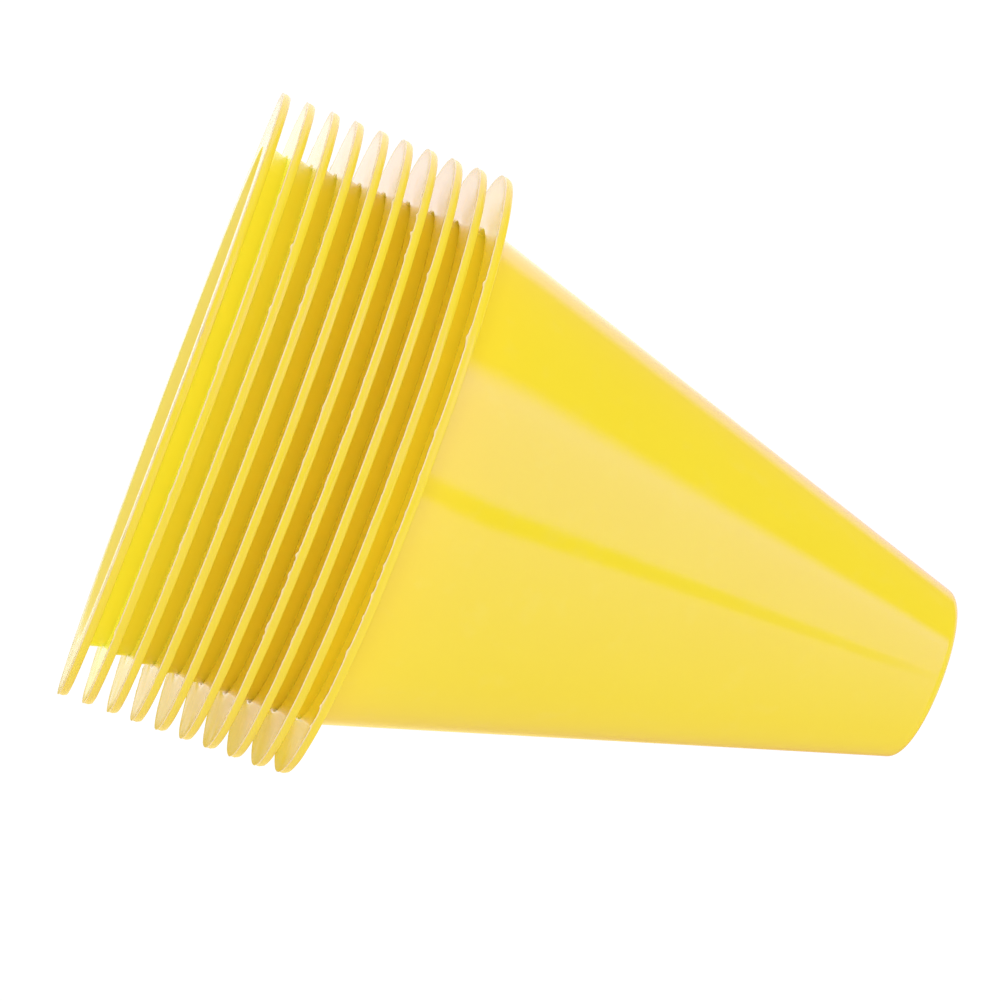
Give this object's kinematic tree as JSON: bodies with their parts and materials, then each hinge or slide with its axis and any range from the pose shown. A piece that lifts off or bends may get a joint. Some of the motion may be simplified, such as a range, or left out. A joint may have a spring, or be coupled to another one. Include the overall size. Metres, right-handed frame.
{
  "type": "wasp trap cone stack",
  "caption": "Stack of nested yellow plastic entry cones for a wasp trap, each with a flat round brim, a tapering wall and an entry hole in its nose.",
  "frame": {"origin": "centre of the lowest brim's underside, on the common axis of the cones", "axes": "+Z along the cones' axis, from the brims to the noses; the cones are round, so +X and +Y are any two square directions across it"},
  "size_m": [0.075, 0.075, 0.0966],
  "materials": {
    "yellow_plastic": "glossy moulded polypropylene"
  },
  "bodies": {
    "trap_cone_01": {"trap_cone_01": "yellow_plastic"},
    "trap_cone_02": {"trap_cone_02": "yellow_plastic"},
    "trap_cone_03": {"trap_cone_03": "yellow_plastic"},
    "trap_cone_04": {"trap_cone_04": "yellow_plastic"},
    "trap_cone_05": {"trap_cone_05": "yellow_plastic"},
    "trap_cone_06": {"trap_cone_06": "yellow_plastic"},
    "trap_cone_07": {"trap_cone_07": "yellow_plastic"},
    "trap_cone_08": {"trap_cone_08": "yellow_plastic"},
    "trap_cone_09": {"trap_cone_09": "yellow_plastic"},
    "trap_cone_10": {"trap_cone_10": "yellow_plastic"}
  },
  "joints": [
    {"name": "lift_02", "type": "slide", "parent": "trap_cone_01", "child": "trap_cone_02", "axis": [0, 0, 1], "range_m": [0, 0.07]},
    {"name": "lift_03", "type": "slide", "parent": "trap_cone_02", "child": "trap_cone_03", "axis": [0, 0, 1], "range_m": [0, 0.07]},
    {"name": "lift_04", "type": "slide", "parent": "trap_cone_03", "child": "trap_cone_04", "axis": [0, 0, 1], "range_m": [0, 0.07]},
    {"name": "lift_05", "type": "slide", "parent": "trap_cone_04", "child": "trap_cone_05", "axis": [0, 0, 1], "range_m": [0, 0.07]},
    {"name": "lift_06", "type": "slide", "parent": "trap_cone_05", "child": "trap_cone_06", "axis": [0, 0, 1], "range_m": [0, 0.07]},
    {"name": "lift_07", "type": "slide", "parent": "trap_cone_06", "child": "trap_cone_07", "axis": [0, 0, 1], "range_m": [0, 0.07]},
    {"name": "lift_08", "type": "slide", "parent": "trap_cone_07", "child": "trap_cone_08", "axis": [0, 0, 1], "range_m": [0, 0.07]},
    {"name": "lift_09", "type": "slide", "parent": "trap_cone_08", "child": "trap_cone_09", "axis": [0, 0, 1], "range_m": [0, 0.07]},
    {"name": "lift_10", "type": "slide", "parent": "trap_cone_09", "child": "trap_cone_10", "axis": [0, 0, 1], "range_m": [0, 0.07]}
  ]
}
